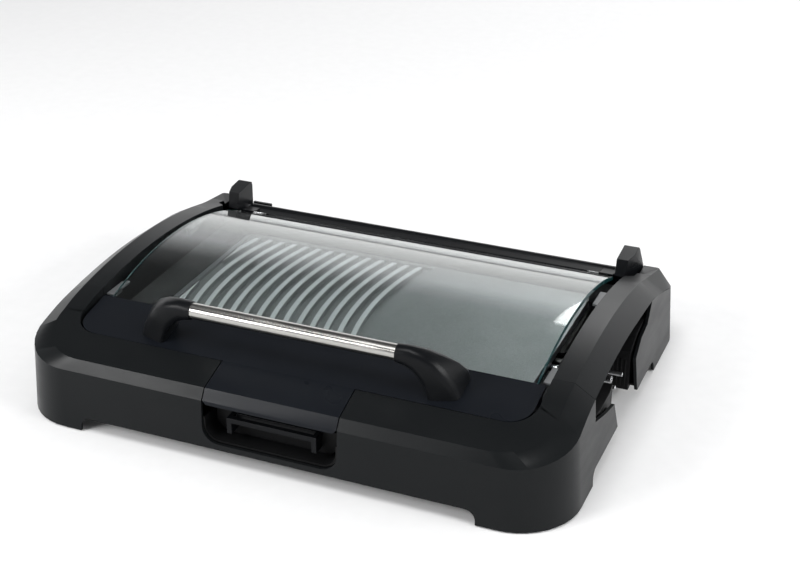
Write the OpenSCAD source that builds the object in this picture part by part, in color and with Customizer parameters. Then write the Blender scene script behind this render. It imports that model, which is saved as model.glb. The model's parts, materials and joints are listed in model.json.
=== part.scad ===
/* [Housing] */
// Overall width of the housing at its foot
body_w = 540; // [530:1:550]
// Overall depth of the housing at its foot
body_d = 397; // [394:1:402]
// Inward lean of the outer walls, per mm of height
lean = 0.064; // [0.05:0.001:0.08]
// Plan radius of the two front corners at the foot
front_r = 58; // [52:1:64]
// Plan radius of the two rear corners at the foot
rear_r = 20; // [18:1:24]
// Thickness of the moulded walls
wall = 3; // [2.6:0.1:3.4]
// Height of the skirt's edge between the feet
skirt_z = 14.5; // [13:0.5:16]
// Height of the skirt's edge at the four feet
foot_edge_z = 1.2; // [1:0.1:2]

/* [Deck and arms] */
// Distance of the bevel's top edge behind the front foot line
deck_front = 10.4; // [9.5:0.1:11.5]
// Height of the bevel's top edge at the front
deck_front_z = 70.8; // [69:0.1:72]
// Height of the bevel band at the front
bevel_front_h = 10; // [9:0.5:11]
// Height of the bevel band along the arms
bevel_side_h = 13; // [11:0.5:14]
// Half width of the arms' top outer edge
arm_out = 246; // [244:0.5:248]
// Half width of the arms' top inner edge
arm_in = 226; // [225:0.5:227]
// Height of the arms' crown
arm_peak = 102.3; // [101:0.1:104]
// Radius of the arms' crown, seen from the side
arm_r = 586; // [570:2:600]
// Distance of the crown from the front foot line
arm_mid = 195; // [192:1:200]

/* [Lid] */
// Half width of the glass
glass_hw = 214; // [212:0.5:214.5]
// Thickness of the glass
glass_t = 4; // [3.5:0.5:5]
// Height of the glass's front edge
glass_front_z = 89.2; // [89:0.1:89.4]
// Height of the glass's crown
glass_top = 106.3; // [106:0.1:106.6]
// Radius of the glass's arch
glass_r = 354.8; // [353:0.2:356]
// Distance of the glass's crown behind the front foot line
glass_mid = 207.8; // [207:0.2:208.6]
// Distance of the lid panel's front seam behind the front foot line
seam_d = 44.4; // [44:0.1:45]
// Half width of the lid panel
panel_hw = 222; // [221:0.5:222.5]
// Half width of the tongue that laps over the front
tongue_hw = 65; // [64:0.5:65.5]
// Half length of the handle rod
rod_hl = 106; // [104:1:107]
// Radius of the handle rod
rod_r = 7.5; // [7:0.25:8]
// Height of the handle rod's axis
rod_z = 118; // [117:0.5:119]
// Distance of the handle rod's axis behind the front foot line
rod_d = 57; // [56:0.5:58]

/* [Hinge] */
// Distance of the hinge axis behind the front foot line
hinge_d = 378.5; // [378:0.5:379]
// Height of the hinge axis
hinge_z = 67.2; // [67:0.1:67.6]
// Radius of the hinge pins
pin_r = 4; // [3.5:0.1:4]
// Radial clearance of the hinge pins in the posts
pin_gap = 0.06; // [0.04:0.01:0.08]

/* [Cooking plate] */
// Half width of the cooking plate
plate_hw = 194; // [192:1:195]
// Front edge of the cooking plate behind the front foot line
plate_f = 88; // [87:1:90]
// Rear edge of the cooking plate behind the front foot line
plate_b = 342; // [340:1:343]
// Height of the flat griddle surface
griddle_z = 55; // [54.5:0.5:55.5]
// Number of ribs on the grill half
rib_n = 14; // [12:1:14]
// Distance between the ribs
rib_pitch = 14.5; // [14:0.1:14.5]
// Width of a rib
rib_w = 5; // [4:0.5:6]
// Plan radius of the curved ribs
rib_r = 330; // [320:5:340]

/* [Inlet] */
// Radius of the two terminal pins
term_r = 2; // [1.9:0.05:2.1]
// Height of the terminal pins
term_z = 41; // [41:0.1:41.4]
// Distance of the front terminal pin behind the front foot line
term_d = 198; // [197:0.5:199]
// Distance between the two terminal pins
term_pitch = 26; // [25.5:0.1:26.5]

/* [Drip tray] */
// Half width of the drip tray
tray_hw = 61; // [60:0.5:62]
// Length of the drip tray behind its front
tray_len = 176; // [170:1:180]

/* [Hidden] */
$fn = 48;

black = [0.10, 0.11, 0.12];
dark = [0.16, 0.17, 0.18];
steel = [0.75, 0.76, 0.78];

// Front distance to the frame's own Y
function Y(d) = d - body_d / 2;
hw0 = body_w / 2;

// Height of the top skin at front distance d: deck, crowned arm, rear slope
arc_from = 84;
arc_to = 343;
rear_slope = 0.183;
function arc_z(d) = arm_peak - (arm_r - sqrt(arm_r * arm_r - pow(d - arm_mid, 2)));
deck_slope = (arc_z(arc_from) - deck_front_z) / (arc_from - deck_front);
function top_z(d) = d < arc_from ? deck_front_z + (d - deck_front) * deck_slope
    : d < arc_to ? arc_z(d) : arc_z(arc_to) - (d - arc_to) * rear_slope;
// Height of the bevel band at front distance d
function band_h(d) = lookup(d, [[10, bevel_front_h], [60, bevel_front_h + 1], [130, bevel_side_h], [254, bevel_side_h],
    [312, bevel_side_h - 3.5], [390, bevel_side_h + 1.5]]);

// Stations round the plan outline, right half from the front middle to the rear middle:
// ["f", fraction of the straight front], ["c", angle in the front corner], ["s", front distance],
// ["r", angle in the rear corner], ["b", fraction of the straight rear], ["x", distance from the middle]
split_d = 103;
nf = 10;
nr = 5;
side_a = [66, 80, 92, split_d];
side_b = [split_d, 120, 138, 156, 174, 192, 210, 228, 246, 264, 282, 300, 315, 330, 343, 350];
st_front = concat([for (k = [0:3]) ["f", k / 3]], [for (k = [1:nf]) ["c", 90 * k / nf]], [for (d = side_a) ["s", d]]);
st_side = [for (d = side_b) ["s", d]];
st_rear = concat([for (k = [0:nr]) ["r", 90 * k / nr]]);
st_back = [for (k = [2:-1:0]) ["b", k / 3]];

// Ring data: [half width, front, rear, front radius, rear radius]
function ring_at(z, extra = 0) = [hw0 - lean * z - extra, lean * z + extra, body_d - lean * z - extra,
    max(front_r - lean * z - extra, 1), max(rear_r - lean * z - extra, 1)];
ring_bev = [arm_out, deck_front, 390.5, 47, 4];
ring_in = [arm_in, seam_d - 0.5, 362, 25, 8];
function pt(s, R) = s[0] == "f" ? [s[1] * (R[0] - R[3]), R[1]]
    : s[0] == "c" ? [R[0] - R[3] + R[3] * sin(s[1]), R[1] + R[3] - R[3] * cos(s[1])]
    : s[0] == "s" ? [R[0], s[1]]
    : s[0] == "x" ? [s[1], R[2]]
    : s[0] == "r" ? [R[0] - R[4] + R[4] * cos(s[1]), R[2] - R[4] + R[4] * sin(s[1])]
    : [s[1] * (R[0] - R[4]), R[2]];
// Bevel's top edge, drawn in by e: it runs outward over the rear slope
function bev(s, e = 0) = let (q = pt(s, shr(ring_bev, e))) [q[0] + max(0, q[1] - 330) * 0.09, q[1]];
function shr(R, e) = [R[0] - e, R[1] + e, R[2] - e, max(R[3] - e, 1), max(R[4] - e, 1)];
function wall_z(s) = let (d = bev(s)[1]) top_z(d) - band_h(d);
function p3(p, z) = [p[0], Y(p[1]), z];
function mir(v) = [for (p = v) [-p[0], p[1], p[2]]];

// Closed skin over a list of sections, each a closed polygon with the same number of points.
// ring = true joins the last section to the first, otherwise the two ends are capped.
function loft_pts(S) = [for (s = S) for (p = s) p];
function loft_faces(n, m, ring) = concat(
    [for (i = [0:(ring ? n - 1 : n - 2)]) for (j = [0:m - 1])
        [i * m + j, ((i + 1) % n) * m + j, ((i + 1) % n) * m + (j + 1) % m]],
    [for (i = [0:(ring ? n - 1 : n - 2)]) for (j = [0:m - 1])
        [i * m + j, ((i + 1) % n) * m + (j + 1) % m, i * m + (j + 1) % m]],
    ring ? [] : [[for (j = [0:m - 1]) j], [for (j = [m - 1:-1:0]) (n - 1) * m + j]]);
function signed(P, F) = let (v = [for (f = F) for (k = [1:len(f) - 2]) cross(P[f[0]], P[f[k]]) * P[f[k + 1]]]) v * [for (x = v) 1];
function turned(F) = [for (f = F) [for (k = [len(f) - 1:-1:0]) f[k]]];
module loft(S, ring = false) {
    P = loft_pts(S);
    F = loft_faces(len(S), len(S[0]), ring);
    polyhedron(points = P, faces = signed(P, F) > 0 ? turned(F) : F, convexity = 8);
}

// Right half and mirrored left half of the stations, as one closed or open run
function both(st, f) = concat([for (i = [len(st) - 1:-1:1]) mir(f(st[i]))], [for (s = st) f(s)]);

// Housing section with the deck: outer wall, bevel, deck, lip and the inside again
function sec_deck(s) = let (w = wall_z(s), a = pt(s, ring_bev), b = pt(s, ring_in),
        a2 = pt(s, shr(ring_bev, wall * 0.7)), b2 = pt(s, shr(ring_in, -wall)))
    [p3(pt(s, ring_at(foot_edge_z)), foot_edge_z), p3(pt(s, ring_at(w)), w), p3(a, top_z(a[1])),
     p3(b, top_z(b[1])), p3(b, top_z(b[1]) - 12), p3(b2, top_z(b2[1]) - 12), p3(b2, top_z(b2[1]) - wall),
     p3(a2, top_z(a2[1]) - wall - 0.6), p3(pt(s, ring_at(w - wall, wall)), w - wall),
     p3(pt(s, ring_at(foot_edge_z, wall)), foot_edge_z)];
// Housing section without the deck: the plain wall, outer foot and top, inner top, shoulder and foot
function sec_wall(s) = let (w = wall_z(s))
    [p3(pt(s, ring_at(foot_edge_z)), foot_edge_z), p3(pt(s, ring_at(w)), w), p3(pt(s, ring_at(w, wall)), w),
     p3(pt(s, ring_at(w - wall, wall)), w - wall), p3(pt(s, ring_at(foot_edge_z, wall)), foot_edge_z)];
// One closed skin: the deck's run from arm to arm, then the plain wall round the back. The wall's
// first and last sections share four points with the deck's end sections.
module housing_skin() {
    D = both(st_front, function (s) sec_deck(s));
    W0 = concat(st_side, st_rear, st_back);
    W = concat([for (s = W0) sec_wall(s)], [for (i = [len(W0) - 2:-1:0]) mir(sec_wall(W0[i]))]);
    nd = len(D);
    nw = len(W);
    map0 = [0, 1, -1, 8, 9];
    function wi(k, j) = k == 0 && j != 2 ? (nd - 1) * 10 + map0[j] : k == nw - 1 && j != 2 ? map0[j] : nd * 10 + k * 5 + j;
    P = concat([for (d = D) for (p = d) p], [for (w = W) for (p = w) p]);
    F = concat(
        [for (i = [0:nd - 2]) for (j = [0:9]) each [[i * 10 + j, (i + 1) * 10 + j, (i + 1) * 10 + (j + 1) % 10],
            [i * 10 + j, (i + 1) * 10 + (j + 1) % 10, i * 10 + (j + 1) % 10]]],
        [for (k = [0:nw - 2]) for (j = [0:4]) each [[wi(k, j), wi(k + 1, j), wi(k + 1, (j + 1) % 5)],
            [wi(k, j), wi(k + 1, (j + 1) % 5), wi(k, (j + 1) % 5)]]],
        // End faces of the deck's run, above the wall
        [concat([for (j = [8:-1:1]) (nd - 1) * 10 + j], [wi(0, 2)])],
        [concat([for (j = [1:8]) j], [wi(nw - 1, 2)])]);
    polyhedron(points = P, faces = signed(P, F) > 0 ? turned(F) : F, convexity = 8);
}

// Prism whose outline is drawn as [front distance, height], running along X
module side_prism(outline, x0, x1) {
    translate([x0, 0, 0]) rotate([90, 0, 90]) linear_extrude(x1 - x0)
        polygon([for (p = outline) [Y(p[0]), p[1]]]);
}
// Prism whose outline is drawn as [x, height], running along Y
module front_prism(outline, d0, d1) {
    translate([0, Y(d1), 0]) rotate([90, 0, 0]) linear_extrude(d1 - d0) polygon(outline);
}
function arc2(cx, cy, r, a0, a1, n = 6) = [for (k = [0:n]) let (a = a0 + (a1 - a0) * k / n) [cx + r * cos(a), cy + r * sin(a)]];

foot_x = 194;
foot_f = 94;
foot_b = 311;
open_hw = 66;
// Outline of the recess in the right wall, as [front distance, height]
recess = [[103.8, 93], [103.8, 60.3], [138, 50], [165, 44], [176, 14], [176, -2], [246, -2], [246, 14],
    [241, 51], [262, 63], [284, 66], [303, 84], [303, 93]];

module skirt_gap_front() {
    front_prism(concat([[-foot_x, -2]], arc2(-foot_x + 10, skirt_z - 10, 10, 180, 90),
        arc2(foot_x - 10, skirt_z - 10, 10, 90, 0), [[foot_x, -2]]), -5, 30);
}
module skirt_gap_rear() {
    front_prism(concat([[-foot_x, -2]], arc2(-foot_x + 10, skirt_z - 10, 10, 180, 90),
        arc2(foot_x - 10, skirt_z - 10, 10, 90, 0), [[foot_x, -2]]), body_d - 30, body_d + 5);
}
module skirt_gap_side(x0, x1) {
    side_prism(concat([[foot_f, -2]], arc2(foot_f + 10, skirt_z - 10, 10, 180, 90),
        arc2(foot_b - 10, skirt_z - 10, 10, 90, 0), [[foot_b, -2]]), x0, x1);
}
module base_housing() color(black) {
    difference() {
        housing_skin();
        skirt_gap_front();
        skirt_gap_rear();
        skirt_gap_side(-hw0 - 5, -hw0 + 30);
        skirt_gap_side(hw0 - 30, hw0 + 5);
        // Drip tray opening, up through the bevel and the deck
        front_prism(concat([[-open_hw, 120], [-open_hw, 36]], arc2(-open_hw + 16, 20 + 16, 16, 180, 270),
            arc2(open_hw - 16, 20 + 16, 16, 270, 360), [[open_hw, 36], [open_hw, 120]]), -5, seam_d + 8);
        // Recess of the inlet
        side_prism(recess, hw0 - 30, hw0 + 5);
    }
    // Screw bosses under the deck and in the rear corners
    for (x = [-1, 1]) {
        translate([x * 200, Y(36), skirt_z + 2.6]) difference() {
            cylinder(r = 5, h = top_z(36) - 2 - skirt_z - 2.6);
            translate([0, 0, -1]) cylinder(r = 1.6, h = 30);
        }
    }
    // Upstand of the rear wall beside the left hinge post
    translate([-213, Y(389.4), 46]) cube([22, 2.8, 24.5]);
}

// Arm cover section: bevel, crowned top, inner wall. Behind inner_d the inner edge steps out round
// the hinge post, and the inner wall is only a short lip.
cover_low = 60;
inner_d = 346;
post_x = 234.6;
function cover_in(s) = s[0] == "s" ? [s[1] > inner_d ? post_x : arm_in, s[1]]
    : s[0] == "r" ? [post_x, 363 + 23 * s[1] / 90] : [s[1], 387];
function sec_cover(s) = let (w = wall_z(s), a = s[0] == "x" ? [s[1], 390.5] : bev(s), t = top_z(a[1]), b = cover_in(s),
        k = s[0] == "s" && s[1] <= inner_d ? wall : 1, c = b + (s[0] == "x" ? [0, 0.4] : [k, 0]), e0 = bev(s, wall * 0.8),
        e = s[0] == "x" ? [s[1], 390.1] : e0, lo = k == 1 ? t - wall - 0.8 : cover_low)
    [p3(pt(s, ring_at(w)), w + 0.02), p3(a, t), p3(b, t - 0.3), p3(b, lo), p3(c, lo),
     p3(c, t - wall), p3(e, t - wall), p3(pt(s, ring_at(w, wall)), w + 0.02)];
st_cover = concat([["s", split_d + 0.4]], [for (i = [1:len(st_side) - 3]) st_side[i]], [["s", 343], ["s", 349], ["s", 360]], st_rear, [["x", post_x - 0.5]]);
module arm_cover() { loft([for (s = st_cover) sec_cover(s)]); }
module side_cover_right() color(black) arm_cover();
module side_cover_left() color(black) mirror([1, 0, 0]) arm_cover();

// Hinge post: a column on the floor whose wedge-shaped head stands above the arm, bored for the pin
post_d1 = 389.9;
module hinge_post() {
    difference() {
        intersection() {
            side_prism([[362, skirt_z + 2.65], [post_d1, skirt_z + 2.65], [post_d1, 91.5], [post_d1 - 1.2, 94.6], [post_d1 - 4, 95.8],
                [357.5, 93], [352.5, 76], [359, 72], [362, 66]], 213.5, post_x);
            // Plan: the outer side runs outward to the back
            translate([0, 0, 0]) linear_extrude(120) polygon([[213.5, Y(350)], [223.5, Y(350)], [post_x - 0.8, Y(post_d1 - 3)],
                [post_x - 0.8, Y(post_d1 + 1)], [213.5, Y(post_d1 + 1)]]);
            front_prism([[213.5, 0], [post_x, 0], [post_x - 0.8, 76], [228.5, 96], [213.5, 96]], 340, 400);
        }
        translate([212, Y(hinge_d), hinge_z]) rotate([0, 90, 0]) cylinder(r = pin_r + pin_gap, h = 15);
    }
}
module hinge_post_right() color(black) hinge_post();
module hinge_post_left() color(black) mirror([1, 0, 0]) hinge_post();

// Surround of the cooking plate: sloped walls down to a narrow flange
liner_o = [222.4, 48.6, 360.5, 22, 8];
liner_i = [198, 84.5, 346, 14, 12];
liner_l = [184, 98, 333, 10, 10];
st_all = concat(st_front, st_side, st_rear, st_back);
function sec_liner(s) = [p3(pt(s, liner_o), 62), p3(pt(s, liner_i), 46.5), p3(pt(s, liner_l), 46.5),
    p3(pt(s, liner_l), 44), p3(pt(s, shr(liner_i, -1.5)), 44), p3(pt(s, liner_o), 58.8)];
st_liner = concat([for (k = [0:3]) ["f", k / 3]], [for (k = [1:nf]) ["c", 90 * k / nf]],
    [["s", 130], ["s", 300]], st_rear, st_back);
module well_liner() color(dark) {
    difference() {
        loft(let (R = [for (s = st_liner) sec_liner(s)], n = len(R)) concat(R, [for (i = [n - 2:-1:1]) mir(R[i])]), true);
        // Openings for the terminals and for the tongue's backing
        translate([180, Y(term_d - 8), 40]) cube([60, term_pitch + 16, 9]);
    }
}

// Floor of the housing, with vent slots
module bottom_plate() color(dark) {
    difference() {
        translate([0, 0, skirt_z + 0.6]) linear_extrude(2) polygon(concat(
            [for (s = st_floor) floor_pt(s)], [for (i = [len(st_floor) - 1:-1:0]) let (p = floor_pt(st_floor[i])) [-p[0], p[1]]]));
        for (x = [-150:25:150]) for (y = [250, 290]) translate([x - 2.5, Y(y), 0]) cube([5, 26, 40]);
        // Room for the inlet recess
        translate([228, Y(169.5), 0]) cube([60, 82, 40]);
        for (x = [-1, 1]) for (d = [36, 330]) translate([x * 200, Y(d), 0]) cylinder(r = 1.9, h = 40);
    }
}
st_floor = concat([for (k = [0:2:nf]) ["c", 90 * k / nf]], [for (k = [0:nr]) ["r", 90 * k / nr]]);
function floor_pt(s) = let (p = pt(s, ring_at(skirt_z + 2.6, wall + 0.4))) [p[0], Y(p[1])];

module rubber_feet() color([0.08, 0.08, 0.08]) {
    for (x = [-1, 1]) for (d = [48, 362]) translate([x * 228, Y(d), 0]) {
        cylinder(r1 = 8.5, r2 = 9, h = 3);
        translate([0, 0, 2.9]) cylinder(r = 6, h = skirt_z + 0.6 - 2.9);
    }
}
module base_screws() color(steel) {
    for (x = [-1, 1]) for (d = [36, 330]) translate([x * 200, Y(d), skirt_z - 1.2]) difference() {
        union() {
            cylinder(r = 3.6, h = 1.8);
            cylinder(r = 1.6, h = 12);
        }
        translate([-0.5, -2.5, -0.1]) cube([1, 5, 0.9]);
        translate([-2.5, -0.5, -0.1]) cube([5, 1, 0.9]);
    }
}

// Reflector pan under the element
pan = [176, 108, 326, 14, 14];
function sec_pan(s) = [p3(pt(s, pan), 43.6), p3(pt(s, shr(pan, 10)), 34.6), p3(pt(s, shr(pan, 11)), 34.6), p3(pt(s, shr(pan, 1.2)), 43.6)];
module heat_reflector() color([0.72, 0.73, 0.74]) {
    difference() {
        union() {
            loft(let (R = [for (s = st_liner) sec_pan(s)], n = len(R)) concat(R, [for (i = [n - 2:-1:1]) mir(R[i])]), true);
            translate([-166.5, Y(118), 34]) cube([333, 198, 1]);
        }
        translate([0, Y(130), 20]) cylinder(r = 14, h = 30);
        translate([140, Y(term_d - 9), 35.2]) cube([60, term_pitch + 18, 20]);
    }
}

// Cooking plate: ribs on the left half, flat griddle on the right half
rib_c = 240;
edge_x = 10.5;
module plan_block(hw, f, b, r, z0, z1) {
    translate([0, 0, z0]) union() {
        translate([-hw + r, Y(f), 0]) cube([2 * (hw - r), b - f, z1 - z0]);
        translate([-hw, Y(f + r), 0]) cube([2 * hw, b - f - 2 * r, z1 - z0]);
        for (x = [-1, 1]) for (d = [f + r, b - r]) translate([x * (hw - r), Y(d), 0]) cylinder(r = r, h = z1 - z0);
    }
}
module grill_plate() color([0.30, 0.30, 0.31]) {
    difference() {
        plan_block(plate_hw, plate_f, plate_b, 10, 46.7, griddle_z);
        plan_block(plate_hw - 7, plate_f + 7, plate_b - 7, 8, 46, griddle_z - 5.6);
        // Floor of the ribbed half, bounded by the curved edge of the griddle
        intersection() {
            plan_block(plate_hw - 5, plate_f + 5, plate_b - 5, 7, griddle_z - 3.2, griddle_z + 5);
            difference() {
                translate([-plate_hw, Y(plate_f), griddle_z - 3.2]) cube([plate_hw + 60, plate_b - plate_f, 8]);
                translate([edge_x + rib_r, Y(rib_c), 40]) cylinder(r = rib_r, h = 30, $fn = 240);
            }
        }
        // Grease channel and drain
        translate([-20, Y(plate_f + 6), griddle_z - 2]) cube([plate_hw + 6, 3, 5]);
        translate([0, Y(130), 40]) cylinder(r = 4, h = 30);
    }
    // Ribs
    intersection() {
        plan_block(plate_hw - 9, plate_f + 12, plate_b - 12, 6, griddle_z - 3.4, griddle_z + 2.2);
        for (k = [1:rib_n]) let (cx = edge_x - k * rib_pitch + 4 + rib_r)
            difference() {
                translate([cx, Y(rib_c), griddle_z - 3.4]) cylinder(r = rib_r + rib_w / 2, h = 5.6, $fn = 240);
                translate([cx, Y(rib_c), griddle_z - 4.4]) cylinder(r = rib_r - rib_w / 2, h = 8, $fn = 240);
                translate([cx, Y(0), griddle_z - 4.4]) cube([400, 500, 8]);
            }
    }
    // Locating feet under the plate's corners
    for (x = [-1, 1]) for (d = [104, 326]) translate([x * 178, Y(d), 45.2]) cylinder(r = 4, h = 5);
}

// Bent tube of the element, with its two straight tails towards the inlet
el_r = 3.4;
el_z = term_z;
el_x = 150;
el_f = 126;
el_b = 306;
el_bend = 22;
module tube_x(x0, x1, d) { translate([x0, Y(d), el_z]) rotate([0, 90, 0]) cylinder(r = el_r, h = x1 - x0); }
module tube_y(x, d0, d1) { translate([x, Y(d1), el_z]) rotate([90, 0, 0]) cylinder(r = el_r, h = d1 - d0); }
module bend(x, d, a) { translate([x, Y(d), el_z]) rotate([0, 0, a]) rotate_extrude(angle = 90, $fn = 64) translate([el_bend, 0]) circle(r = el_r, $fn = 32); }
module heating_element() color([0.35, 0.35, 0.36]) {
    a = term_d;
    b = term_d + term_pitch;
    tube_x(-el_x + el_bend, el_x - el_bend, el_f);
    tube_x(-el_x + el_bend, el_x - el_bend, el_b);
    tube_y(-el_x, el_f + el_bend, el_b - el_bend);
    bend(-el_x + el_bend, el_f + el_bend, 180);
    bend(-el_x + el_bend, el_b - el_bend, 90);
    bend(el_x - el_bend, el_f + el_bend, 270);
    bend(el_x - el_bend, el_b - el_bend, 0);
    tube_y(el_x, el_f + el_bend, a - el_bend);
    tube_y(el_x, b + el_bend, el_b - el_bend);
    bend(el_x + el_bend, a - el_bend, 90);
    bend(el_x + el_bend, b + el_bend, 180);
    tube_x(el_x + el_bend, 228, a);
    tube_x(el_x + el_bend, 228, b);
}
module element_clips() color(steel) {
    for (x = [-90, 0, 90]) for (d = [el_f, el_b]) translate([x - 4, Y(d), 0]) difference() {
        union() {
            translate([0, -7, 35.02]) cube([8, 14, 1]);
            translate([0, -4.6, 35.02]) cube([8, 9.2, 10.2]);
        }
        translate([-1, 0, el_z]) rotate([0, 90, 0]) cylinder(r = el_r + 0.03, h = 10);
        translate([-1, -3.4, 36]) cube([10, 6.8, el_z - 36]);
    }
}

// Moulded insert behind the recess: sloped inner faces and the pocket for the plug
function lip(e) = e;
module inlet_shroud() color(dark) {
    difference() {
        union() {
            side_prism([[110, 60], [140, 47], [163, 41], [172, 15.2], [250, 15.2], [247, 52], [265, 62], [286, 66], [298, 79], [110, 79]], 229.4, 261);
        }
        // Pocket for the plug
        side_prism([[178.5, 10], [241, 10], [241, 60], [178.5, 66]], 238, 270);
        // Slanting scoop above and in front of the pocket
        side_prism([[104, 57], [138, 52], [168, 52], [179, 56], [240, 56], [262, 66], [290, 69], [299, 82], [298, 90], [104, 90]], 247, 270);
        // Passage for the tails and the sleeve
        for (k = [0:2]) translate([220, Y(term_d + k * term_pitch / 2), term_z]) rotate([0, 90, 0]) cylinder(r = 4.6, h = 30);
    }
    // Upright grip ribs on the rear wall of the pocket
    for (k = [0:4]) translate([240 + 4 * k, Y(240.4), 20]) cube([1.6, 1, 28]);
}
module terminal_pins() color(steel) {
    for (k = [0, 1]) translate([228, Y(term_d + k * term_pitch), el_z]) rotate([0, 90, 0]) {
        cylinder(r = 3.4, h = 8);
        translate([0, 0, 7.9]) cylinder(r = term_r, h = 23.1);
    }
}
module probe_sleeve() color(steel) {
    translate([190, Y(term_d + term_pitch / 2), el_z]) rotate([0, 90, 0]) difference() {
        cylinder(r = 3.6, h = 62);
        translate([0, 0, 20]) cylinder(r = 2.6, h = 50);
    }
}

// Small rests on the arms' inner walls, which carry the closed lid
module lid_rests() color([0.5, 0.52, 0.54]) {
    for (x = [-1, 1]) for (d = [122, 275]) translate([x * 221, Y(d), d < 200 ? 84.6 : 87]) {
        translate([-4.9, -14, 0]) cube([9.8, 28, 2.2]);
        translate([x > 0 ? 2.4 : -4.9, -10, -9]) cube([2.5, 20, 9.1]);
    }
}

// Channel that guides the drip tray
bay_t = 2;
module tray_bay() color(dark) {
    difference() {
        front_prism(concat([[-open_hw + 0.3, 43.9], [-open_hw + 0.3, 36]], arc2(-open_hw + 16, 20 + 16, 15.7, 180, 270),
            arc2(open_hw - 16, 20 + 16, 15.7, 270, 360), [[open_hw - 0.3, 36], [open_hw - 0.3, 43.9]]), 5, 100);
        front_prism(concat([[-open_hw + 2.3, 60], [-open_hw + 2.3, 36]], arc2(-open_hw + 16, 20 + 16, 13.7, 180, 270),
            arc2(open_hw - 16, 20 + 16, 13.7, 270, 360), [[open_hw - 2.3, 36], [open_hw - 2.3, 60]]), 0, 110);
    }
    // Guide strips behind the channel
    for (x = [-1, 1]) translate([x * 63.5 - 2, Y(99.9), 17.1]) cube([4, 100, 12]);
}

// Drip tray with its own front
tray_d = 22;
module drip_tray() color([0.13, 0.13, 0.14]) {
    w = tray_hw;
    difference() {
        intersection() {
            front_prism([[-w, 46], [-w, 32], [-w + 9.5, 23], [w - 9.5, 23], [w, 32], [w, 46]], tray_d, tray_d + tray_len);
            side_prism([[tray_d, 20], [tray_d, 46], [tray_d + 4, 46], [tray_d + 5, 43], [78, 43], [84, 33.2], [tray_d + tray_len, 33.2], [tray_d + tray_len, 20]], -w - 1, w + 1);
        }
        front_prism([[-w + 2, 60], [-w + 2, 33], [-w + 10.5, 24.8], [w - 10.5, 24.8], [w - 2, 33], [w - 2, 60]], tray_d + 4, tray_d + tray_len - 2);
    }
}
module tray_handle() color([0.45, 0.46, 0.47]) {
    translate([0, Y(tray_d), 0]) difference() {
        union() {
            translate([-44, -14, 41]) cube([88, 14, 5]);
            for (x = [-1, 1]) translate([x * 41.5 - 2.5, -14, 30]) cube([5, 14, 12]);
        }
        translate([-39, -9, 40]) cube([78, 5, 7]);
    }
}

// Arched glass: part of a ring about a long axis parallel to the hinge
g_c = [glass_mid, glass_top - glass_r];
glass_b = 371;
// Upper face of the glass, raised by e, and its lower face, lowered by e
function glass_hi(d, e = 0) = g_c[1] + sqrt(pow(glass_r + e, 2) - pow(d - g_c[0], 2));
function glass_lo(d, e = 0) = g_c[1] + sqrt(pow(glass_r - glass_t - e, 2) - pow(d - g_c[0], 2));
module lid_glass() color([0.55, 0.63, 0.64, 0.55]) {
    intersection() {
        translate([-glass_hw, Y(g_c[0]), g_c[1]]) rotate([0, 90, 0]) difference() {
            cylinder(r = glass_r, h = 2 * glass_hw, $fn = 360);
            translate([0, 0, -1]) cylinder(r = glass_r - glass_t, h = 2 * glass_hw + 2, $fn = 360);
        }
        // Outline of the sheet: its rear corners are cut back to clear the posts
        translate([0, 0, 50]) linear_extrude(80) polygon([[-glass_hw, Y(88.8)], [glass_hw, Y(88.8)], [glass_hw, Y(345)],
            [203, Y(361)], [203, Y(glass_b)], [-203, Y(glass_b)], [-203, Y(361)], [-glass_hw, Y(345)]]);
    }
}

// Front panel of the lid with the tongue that laps over the deck and the bevel
panel_b = 98.5;
panel_t = 2.6;
function panel_z(d) = top_z(seam_d) + (d - seam_d) * (glass_front_z + 0.9 - top_z(seam_d)) / (panel_b - seam_d);
function tongue_lo(d) = deck_front_z - 2.6 + (d - 12.3) * (panel_z(seam_d + 3) - 3.4 - deck_front_z + 2.6) / (seam_d + 3 - 12.3);
// Plan outline of the panel with two rounded front corners, drawn in by e
module panel_plan(e, rear) {
    translate([0, 0, 50]) linear_extrude(60) polygon([for (q = concat(
        [for (p = arc2(-panel_hw + 22, seam_d + 22, 22 - e, 180, 270, 8)) p], [for (p = arc2(panel_hw - 22, seam_d + 22, 22 - e, 270, 360, 8)) p],
        [[panel_hw - e, rear], [-panel_hw + e, rear]])) [q[0], Y(q[1])]]);
}
module front_panel() color(black) {
    difference() {
        union() {
            intersection() {
                panel_plan(0, panel_b);
                side_prism([[seam_d - 1, panel_z(seam_d - 1)], [panel_b + 1, panel_z(panel_b + 1)], [panel_b + 1, glass_hi(panel_b + 1, 0.1)],
                    [93, glass_hi(93, 0.12)], [88.5, glass_hi(88.5, 0.1)], [88.5, panel_z(88.5) - 9], [seam_d - 1, panel_z(seam_d - 1) - 7]], -panel_hw - 1, panel_hw + 1);
            }
            // Tongue: top, bevel and lower lip
            side_prism([[seam_d + 3, panel_z(seam_d + 3)], [seam_d, top_z(seam_d)], [deck_front, deck_front_z], [4.2, deck_front_z - 10], [3.9, 57.4],
                [6.9, 57.4], [7.1, deck_front_z - 10.8], [12.3, deck_front_z - 2.6], [seam_d + 3, panel_z(seam_d + 3) - 3.4]], -tongue_hw, tongue_hw);
        }
        // Hollow under the panel
        intersection() {
            panel_plan(2.6, 85.8);
            side_prism([[seam_d, 50], [seam_d, panel_z(seam_d) - panel_t], [90, panel_z(90) - panel_t], [90, 50]], -panel_hw, panel_hw);
        }
        // Chamfers on the tongue's lower corners
        for (x = [-1, 1]) translate([x * tongue_hw, Y(-5), 57.4]) rotate([0, 45, 0]) translate([-2.5, 0, -2.5]) cube([5, 14, 5]);
        for (x = [-1, 1]) for (d = screw_d) translate([x * screw_x, Y(d), 70]) cylinder(r = 1.7, h = 20);
    }
}
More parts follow.
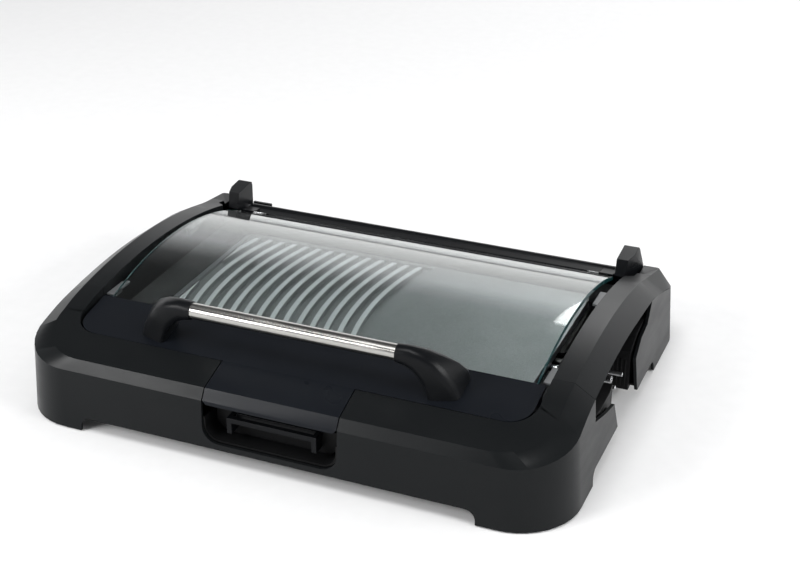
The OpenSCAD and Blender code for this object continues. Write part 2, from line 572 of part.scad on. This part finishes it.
module tongue_backing() color(dark) {
    side_prism([[9.2, 60], [14, 63.2], [seam_d - 2, 66.5], [seam_d - 2, 69.4], [14, 66.4], [9.4, 63]], -61, 61);
    for (x = [-40, 40]) translate([x, Y(30), 67]) cylinder(r = 3, h = tongue_lo(27) - 0.1 - 67);
}
module glass_seal() color([0.07, 0.07, 0.07]) {
    side_prism([[88.9, glass_lo(88.9, 0.35)], [93.4, glass_lo(93.4, 0.4)], [97.9, glass_lo(97.9, 0.35)],
        [97.9, glass_lo(97.9) - 2.3], [88.9, glass_lo(88.9) - 2.3]], -212, 212);
}

// Rear rail: round bar on the hinge axis with a slotted holder for the glass, and a cap over each
// rear corner of the glass
rail_r = 6;
module rear_rail() color(black) {
    difference() {
        union() {
            translate([-208, Y(hinge_d), hinge_z]) rotate([0, 90, 0]) cylinder(r = rail_r, h = 416);
            side_prism([[365.6, glass_hi(365.6, 1.1)], [374.4, hinge_z + 4.2], [hinge_d, hinge_z + 5.4], [hinge_d, hinge_z - 5.6],
                [371.5, glass_lo(371.5, 2.4)], [363, glass_lo(363, 2.2)]], -202.5, 202.5);
            for (x = [-1, 1]) side_prism([[356, glass_hi(356, 1.6)], [363, glass_hi(363, 2.4)], [375, hinge_z + 4.5], [hinge_d, hinge_z + 5.4], [hinge_d, hinge_z - 2],
                [371.5, glass_lo(371.5, -1)], [356, glass_hi(356, -1)]], x * 203.5 - 7, x * 203.5 + 7);
        }
        // Slot of the glass
        side_prism([[350, glass_hi(350, 0.1)], [356, glass_hi(356, 0.1)], [361, glass_hi(361, 0.1)], [366, glass_hi(366, 0.1)], [371.2, glass_hi(371.2, 0.1)],
            [371.2, glass_lo(371.2, 0.1)], [366, glass_lo(366, 0.12)], [361, glass_lo(361, 0.12)], [356, glass_lo(356, 0.12)], [350, glass_lo(350, 0.12)]], -203.3, 203.3);
        for (x = [-1, 1]) side_prism([[350, glass_hi(350, 0.1)], [356, glass_hi(356, 0.1)], [363, glass_hi(363, 0.12)], [363, glass_lo(363, 1)], [350, glass_lo(350, 1)]], x * 209 - 6, x * 209 + 6);
        for (x = [-209, 190]) translate([x, Y(hinge_d), hinge_z]) rotate([0, 90, 0]) cylinder(r = pin_r, h = 19);
    }
}
module hinge_pins() color(steel) {
    for (x = [-1, 1]) translate([x > 0 ? 190.2 : -226.2, Y(hinge_d), hinge_z]) rotate([0, 90, 0]) cylinder(r = pin_r, h = 36);
}
// Clips that hold the glass's rear corners to the rail
module glass_clips() color(steel) {
    for (x = [-1, 1]) side_prism([[356, glass_hi(356, 1.2)], [365, glass_hi(365, 1.2)], [365, glass_hi(365, 0.08)], [360.6, glass_hi(360.6, 0.06)], [356, glass_hi(356, 0.05)]],
        x * 190 - 5.6, x * 190 + 5.6);
}

module handle_rod() color([0.8, 0.8, 0.82]) {
    translate([-rod_hl, Y(rod_d), rod_z]) rotate([0, 90, 0]) cylinder(r = rod_r, h = 2 * rod_hl);
}
// Wing-shaped post: sections run from the round end at the rod to the foot on the panel. Each
// section has four guide corners [x, front distance, height], front inner, front outer, rear outer
// and rear inner, and a roundness between a circle (1) and a square (0).
post_sections = [
    [1, [100.2, 48.4, 109.4], [100.2, 48.4, 126.6], [100.2, 65.6, 126.6], [100.2, 65.6, 109.4]],
    [0.9, [108.5, 48.4, 107.8], [112.5, 48.4, 126.6], [113.5, 66, 127], [109, 66, 108]],
    [0.7, [115.5, 48.6, 104.4], [124.5, 48.4, 123.4], [128, 68, 125], [117, 67, 105]],
    [0.55, [121, 48.8, 98.8], [135.5, 49.4, 116.6], [141.5, 73, 118], [123, 70, 100]],
    [0.45, [125, 48.8, 92.6], [145, 51.4, 106], [152, 80.5, 108.5], [127, 74.5, 95]],
    [0.4, [128, 48.4, 86.4], [152.8, 54.6, 94.4], [157, 88, 98.5], [129.5, 81, 90]],
    [0.35, [129.4, 47.6, 78], [159.6, 56.6, 78], [157.6, 95, 82], [131, 88, 82]]];
post_n = 20;
function post_sec(p) = [for (k = [0:post_n - 1]) let (a = 360 * (k + 0.5) / post_n, c = cos(a), s = sin(a),
        u = sign(c) * pow(abs(c), p[0]), v = sign(s) * pow(abs(s), p[0]),
        q = ((1 - u) * (1 - v) * p[1] + (1 + u) * (1 - v) * p[2] + (1 + u) * (1 + v) * p[3] + (1 - u) * (1 + v) * p[4]) / 4)
    [q[0], Y(q[1]), q[2]]];
screw_x = 144;
screw_d = [60, 76];
module handle_post() {
    difference() {
        loft([for (p = post_sections) post_sec(p)]);
        // Seat of the rod
        translate([90, Y(rod_d), rod_z]) rotate([0, 90, 0]) cylinder(r = rod_r, h = rod_hl - 90 + 0.05);
        // Foot cut to the slope of the panel
        side_prism([[20, panel_z(20) + 0.05], [120, panel_z(120) + 0.05], [120, 60], [20, 60]], 100, 190);
        for (d = screw_d) translate([screw_x, Y(d), 70]) cylinder(r = 1.6, h = 22);
    }
}
module handle_post_right() color(black) handle_post();
module handle_post_left() color(black) mirror([1, 0, 0]) handle_post();
module handle_screws() color(steel) {
    for (x = [-1, 1]) for (d = screw_d) translate([x * screw_x, Y(d), panel_z(d) - panel_t - 2.1]) {
        cylinder(r = 3.4, h = 1.4);
        translate([0, 0, 1.3]) cylinder(r = 1.5, h = 6);
    }
}

base_housing();
side_cover_left();
side_cover_right();
well_liner();
bottom_plate();
rubber_feet();
base_screws();
heat_reflector();
grill_plate();
heating_element();
element_clips();
inlet_shroud();
terminal_pins();
probe_sleeve();
lid_rests();
tray_bay();
hinge_post_left();
hinge_post_right();
lid_glass();
front_panel();
tongue_backing();
glass_seal();
rear_rail();
hinge_pins();
glass_clips();
handle_rod();
handle_post_left();
handle_post_right();
handle_screws();
drip_tray();
tray_handle();
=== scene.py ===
import bpy, bmesh, math, json
from mathutils import Vector, Matrix

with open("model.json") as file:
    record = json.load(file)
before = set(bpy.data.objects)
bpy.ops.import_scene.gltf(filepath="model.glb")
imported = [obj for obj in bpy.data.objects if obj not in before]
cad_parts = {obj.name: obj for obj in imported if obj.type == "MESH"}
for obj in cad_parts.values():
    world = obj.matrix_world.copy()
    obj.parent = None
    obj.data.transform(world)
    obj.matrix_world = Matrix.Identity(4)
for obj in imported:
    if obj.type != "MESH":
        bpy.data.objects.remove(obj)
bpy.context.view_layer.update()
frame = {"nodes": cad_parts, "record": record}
N = frame["nodes"]
sc = bpy.context.scene

# ---------------------------------------------------------------- node helpers
def new_mat(name):
    m = bpy.data.materials.new(name)
    m.use_nodes = True
    nt = m.node_tree
    for n in list(nt.nodes):
        nt.nodes.remove(n)
    out = nt.nodes.new("ShaderNodeOutputMaterial")
    b = nt.nodes.new("ShaderNodeBsdfPrincipled")
    nt.links.new(b.outputs[0], out.inputs[0])
    return m, nt, b


def coords(nt, scale=(1, 1, 1)):
    tc = nt.nodes.new("ShaderNodeTexCoord")
    mp = nt.nodes.new("ShaderNodeMapping")
    mp.inputs["Scale"].default_value = scale
    nt.links.new(tc.outputs["Object"], mp.inputs["Vector"])
    return mp.outputs["Vector"]


def noise(nt, vec, scale, detail=4.0, rough=0.55):
    n = nt.nodes.new("ShaderNodeTexNoise")
    n.inputs["Scale"].default_value = scale
    n.inputs["Detail"].default_value = detail
    n.inputs["Roughness"].default_value = rough
    nt.links.new(vec, n.inputs["Vector"])
    return n.outputs["Fac"]


def ramp(nt, fac, stops):
    r = nt.nodes.new("ShaderNodeValToRGB")
    el = r.color_ramp.elements
    el[0].position, el[0].color = stops[0][0], stops[0][1]
    el[1].position, el[1].color = stops[-1][0], stops[-1][1]
    for p, c in stops[1:-1]:
        e = el.new(p)
        e.color = c
    nt.links.new(fac, r.inputs["Fac"])
    return r.outputs["Color"]


def maprange(nt, fac, lo, hi, a=0.0, b=1.0):
    r = nt.nodes.new("ShaderNodeMapRange")
    r.inputs["From Min"].default_value = a
    r.inputs["From Max"].default_value = b
    r.inputs["To Min"].default_value = lo
    r.inputs["To Max"].default_value = hi
    nt.links.new(fac, r.inputs["Value"])
    return r.outputs["Result"]


def bump(nt, height, strength, distance, normal=None):
    b = nt.nodes.new("ShaderNodeBump")
    b.inputs["Strength"].default_value = strength
    b.inputs["Distance"].default_value = distance
    nt.links.new(height, b.inputs["Height"])
    if normal is not None:
        nt.links.new(normal, b.inputs["Normal"])
    return b.outputs["Normal"]


def rgb(c, a=1.0):
    return (c[0], c[1], c[2], a)


def plastic(name, base, dark, rough, rvar=0.05, grain=0.35, grain_scale=1500.0, spec=0.5):
    """Moulded plastic: fine spark-eroded grain, slight cloudiness of colour and gloss, a few faint flow marks."""
    m, nt, b = new_mat(name)
    v = coords(nt)
    cloud = noise(nt, v, 18.0, 3.0)
    fine = noise(nt, v, grain_scale, 2.0, 0.6)
    flow = noise(nt, coords(nt, (14, 14, 60)), 1.0, 3.0)
    mix = nt.nodes.new("ShaderNodeMath"); mix.operation = "ADD"
    nt.links.new(cloud, mix.inputs[0]); nt.links.new(fine, mix.inputs[1])
    col = ramp(nt, maprange(nt, mix.outputs[0], 0, 1, 0.55, 1.45), [(0.0, rgb(dark)), (1.0, rgb(base))])
    nt.links.new(col, b.inputs["Base Color"])
    nt.links.new(maprange(nt, flow, rough - rvar, rough + rvar, 0.3, 0.7), b.inputs["Roughness"])
    nt.links.new(bump(nt, fine, grain, 0.00006), b.inputs["Normal"])
    b.inputs["Specular IOR Level"].default_value = spec
    return m


def metal(name, base, dark, rough, stretch=(1, 1, 1), scale=900.0, strength=0.3, rvar=0.06, aniso=0.0):
    """Metal with a fine grain that may run in one direction."""
    m, nt, b = new_mat(name)
    v = coords(nt, stretch)
    g = noise(nt, v, scale, 5.0, 0.65)
    c = noise(nt, coords(nt), 30.0, 3.0)
    col = ramp(nt, g, [(0.25, rgb(dark)), (0.75, rgb(base))])
    nt.links.new(col, b.inputs["Base Color"])
    b.inputs["Metallic"].default_value = 1.0
    nt.links.new(maprange(nt, c, rough - rvar, rough + rvar, 0.3, 0.7), b.inputs["Roughness"])
    nt.links.new(bump(nt, g, strength, 0.00004), b.inputs["Normal"])
    b.inputs["Anisotropic"].default_value = aniso
    return m


M = {}
M["body"] = plastic("body_plastic", (0.0074, 0.0084, 0.0090), (0.0052, 0.0061, 0.0068), 0.33, 0.04, 0.30, 1500.0, 0.14)
M["panel"] = plastic("panel_plastic", (0.0070, 0.0084, 0.0112), (0.0050, 0.0062, 0.0086), 0.30, 0.04, 0.20, 1500.0, 0.14)
M["inner"] = plastic("inner_plastic", (0.0050, 0.0052, 0.0056), (0.0030, 0.0031, 0.0034), 0.50, 0.06, 0.5, 1100.0, 0.16)
M["post"] = plastic("post_plastic", (0.0052, 0.0058, 0.0068), (0.0036, 0.0041, 0.0049), 0.32, 0.05, 0.2, 1500.0, 0.12)
M["rest"] = plastic("rest_plastic", (0.200, 0.205, 0.210), (0.155, 0.160, 0.165), 0.42, 0.05, 0.2, 1500.0, 0.30)
M["rubber"] = plastic("rubber", (0.0090, 0.0090, 0.0090), (0.0050, 0.0050, 0.0050), 0.75, 0.08, 0.6, 800.0, 0.2)
M["rod"] = metal("rod_steel", (0.56, 0.55, 0.52), (0.34, 0.335, 0.32), 0.20, (0.02, 1, 1), 2600.0, 0.35, 0.04, 0.5)
M["steel"] = metal("plain_steel", (0.66, 0.67, 0.68), (0.50, 0.51, 0.52), 0.28)
M["sheet"] = metal("bright_sheet", (0.72, 0.73, 0.74), (0.58, 0.59, 0.60), 0.30, (1, 0.05, 1), 700.0, 0.3)
M["tube"] = metal("element_tube", (0.16, 0.155, 0.15), (0.07, 0.07, 0.072), 0.5)


def math2(nt, op, a, b):
    n = nt.nodes.new("ShaderNodeMath"); n.operation = op
    for k, v in enumerate((a, b)):
        if v is None:
            continue
        if isinstance(v, (int, float)):
            n.inputs[k].default_value = v
        else:
            nt.links.new(v, n.inputs[k])
    return n.outputs[0]


def mixcol(nt, fac, a, b):
    n = nt.nodes.new("ShaderNodeMix"); n.data_type = "RGBA"
    nt.links.new(fac, n.inputs["Factor"])
    for sock, v in ((n.inputs[6], a), (n.inputs[7], b)):
        if isinstance(v, tuple):
            sock.default_value = v
        else:
            nt.links.new(v, sock)
    return n.outputs[2]


def axis_of(nt, k):
    tc = nt.nodes.new("ShaderNodeTexCoord")
    sp = nt.nodes.new("ShaderNodeSeparateXYZ")
    nt.links.new(tc.outputs["Object"], sp.inputs[0])
    return sp.outputs[k]


# non-stick coating: dark speckled grey, with a painted highlight that turns the ribs' crests near-white
m, nt, b = new_mat("nonstick")
v = coords(nt)
f1 = noise(nt, v, 900.0, 3.0, 0.7)
f2 = noise(nt, v, 40.0, 4.0)
coat = ramp(nt, f1, [(0.3, (0.20, 0.205, 0.21, 1)), (0.62, (0.27, 0.275, 0.28, 1)), (0.8, (0.36, 0.365, 0.37, 1))])
# painted highlight: by height, the top 1.4 mm of the ribs blends from the coat colour to near-white
crest_highlight = maprange(nt, axis_of(nt, 2), 0.0, 1.0, 0.0556, 0.0570)
nt.links.new(mixcol(nt, crest_highlight, coat, (0.72, 0.73, 0.74, 1)), b.inputs["Base Color"])
b.inputs["Metallic"].default_value = 0.45
nt.links.new(maprange(nt, f2, 0.34, 0.46, 0.3, 0.7), b.inputs["Roughness"])
nt.links.new(bump(nt, f1, 0.5, 0.00008), b.inputs["Normal"])
b.inputs["Specular IOR Level"].default_value = 0.55
M["nonstick"] = m
# glass: clear with a faint green tone, faint tempering ripple and dark green ground edges
m, nt, b = new_mat("lid_glass")
v = coords(nt)
g1 = noise(nt, v, 7.0, 2.0)
g2 = noise(nt, v, 400.0, 2.0)
face = ramp(nt, g1, [(0.2, (0.86, 0.92, 0.91, 1)), (0.8, (0.90, 0.95, 0.94, 1))])
edge = math2(nt, "GREATER_THAN", math2(nt, "ABSOLUTE", axis_of(nt, 0), None), 0.21335)
nt.links.new(mixcol(nt, edge, face, (0.02, 0.075, 0.08, 1)), b.inputs["Base Color"])
nt.links.new(maprange(nt, edge, 1.0, 0.35), b.inputs["Transmission Weight"])
nt.links.new(maprange(nt, g2, 0.010, 0.035), b.inputs["Roughness"])
nt.links.new(bump(nt, g1, 0.05, 0.0004), b.inputs["Normal"])
b.inputs["IOR"].default_value = 1.5
M["glass"] = m

SLOT = {r["node"]: r["material_slot"] for r in frame["record"]["subparts"]}
BY_NODE = {
    "base_housing": "body", "side_cover_left": "body", "side_cover_right": "body", "well_liner": "inner",
    "bottom_plate": "inner", "rubber_feet": "rubber", "base_screws": "steel", "heat_reflector": "sheet",
    "grill_plate": "nonstick", "heating_element": "tube", "element_clips": "steel", "inlet_shroud": "inner",
    "terminal_pins": "steel", "probe_sleeve": "steel", "lid_rests": "rest", "tray_bay": "inner",
    "hinge_post_left": "post", "hinge_post_right": "post", "lid_glass": "glass", "front_panel": "panel",
    "tongue_backing": "inner", "glass_seal": "rubber", "rear_rail": "post", "hinge_pins": "steel",
    "glass_clips": "steel", "handle_rod": "rod", "handle_post_left": "post", "handle_post_right": "post",
    "handle_screws": "steel", "drip_tray": "inner", "tray_handle": "post",
}


def dress(o, mat, bevel=0.0006, angle=28, segs=3, smooth=30):
    """Gives an object its material, softened edges and smooth curved faces."""
    o.data.materials.clear()
    o.data.materials.append(mat)
    for p in o.data.polygons:
        p.use_smooth = True
    w = o.modifiers.new("weld", "WELD"); w.merge_threshold = 0.00001
    d = o.modifiers.new("flat", "DECIMATE"); d.decimate_type = "DISSOLVE"; d.angle_limit = math.radians(0.6)
    if bevel:
        bv = o.modifiers.new("edges", "BEVEL")
        bv.width = bevel; bv.segments = segs; bv.limit_method = "ANGLE"; bv.angle_limit = math.radians(angle)
        bv.harden_normals = True; bv.use_clamp_overlap = True
    n = o.modifiers.new("normals", "WEIGHTED_NORMAL"); n.keep_sharp = True


for name, o in N.items():
    dress(o, M[BY_NODE[name]], bevel={"lid_glass": 0.0005, "base_housing": 0.0012, "side_cover_left": 0.0012,
                                      "side_cover_right": 0.0012, "front_panel": 0.0008, "grill_plate": 0.0009}.get(name, 0.0005))

# ---------------------------------------------------------------- stage, light, camera
me = bpy.data.meshes.new("floor")
bm = bmesh.new()
bmesh.ops.create_grid(bm, x_segments=2, y_segments=2, size=14.0)
bm.to_mesh(me); bm.free()
floor = bpy.data.objects.new("floor", me)
sc.collection.objects.link(floor)
floor.location = (0, 0, -0.0002)
m, nt, b = new_mat("floor_paper")
f = noise(nt, coords(nt), 60.0, 3.0)
nt.links.new(ramp(nt, f, [(0.3, (0.86, 0.86, 0.86, 1)), (0.7, (0.88, 0.88, 0.88, 1))]), b.inputs["Base Color"])
b.inputs["Roughness"].default_value = 0.9
b.inputs["Specular IOR Level"].default_value = 0.1
me.materials.append(m)

w = bpy.data.worlds.new("studio")
sc.world = w
w.use_nodes = True
nt = w.node_tree
bg = nt.nodes["Background"] if "Background" in nt.nodes else nt.nodes.new("ShaderNodeBackground")
tc = nt.nodes.new("ShaderNodeTexCoord")
sx = nt.nodes.new("ShaderNodeSeparateXYZ")
nt.links.new(tc.outputs["Generated"], sx.inputs[0])
r = nt.nodes.new("ShaderNodeValToRGB")
el = r.color_ramp.elements
el[0].position, el[0].color = 0.0, (1.0, 1.0, 1.0, 1)
el[1].position, el[1].color = 1.0, (0.30, 0.31, 0.32, 1)
for p, c in ((0.24, 1.0), (0.42, 0.20), (0.55, 0.07), (0.85, 0.07), (0.95, 0.25)):
    e = el.new(p); e.color = (c, c, c * 1.02, 1)
tilt = math2(nt, "SUBTRACT", sx.outputs["Z"], math2(nt, "MULTIPLY", sx.outputs["Y"], 0.18))
nt.links.new(tilt, r.inputs["Fac"])
nt.links.new(r.outputs["Color"], bg.inputs["Color"])
bg.inputs["Strength"].default_value = 1.35


def area(name, loc, target, size, power, size_y=None, color=(1, 1, 1)):
    l = bpy.data.lights.new(name, "AREA")
    l.energy = power; l.size = size; l.color = color
    if size_y:
        l.shape = "RECTANGLE"; l.size_y = size_y
    o = bpy.data.objects.new(name, l)
    sc.collection.objects.link(o)
    o.location = loc
    o.rotation_euler = (Vector(target) - Vector(loc)).to_track_quat("-Z", "Y").to_euler()
    return o


area("top_box", (-0.2, -0.9, 2.8), (0, 0, 0), 1.2, 32)
area("front_box", (-1.50, -1.72, 1.24), (0, 0, 0.05), 1.3, 43, 0.7)
area("right_box", (2.28, -0.20, 1.18), (0, 0, 0.05), 1.6, 41, 0.7)
area("rear_box", (0.36, 2.53, 1.58), (0, 0, 0.05), 1.8, 24, 0.9)

cam = bpy.data.cameras.new("cam")
cam.sensor_fit = "HORIZONTAL"
cam.sensor_width = 36.0
cam.lens = 1519.99 / 800 * 36
cam.clip_start, cam.clip_end = 0.05, 60
co = bpy.data.objects.new("cam", cam)
sc.collection.objects.link(co)
co.location = (0.53646, -1.19016, 0.76251)
co.rotation_euler = (math.radians(90 - 27.05), 0, math.radians(22.48))
sc.camera = co
sc.view_settings.view_transform = "Standard"
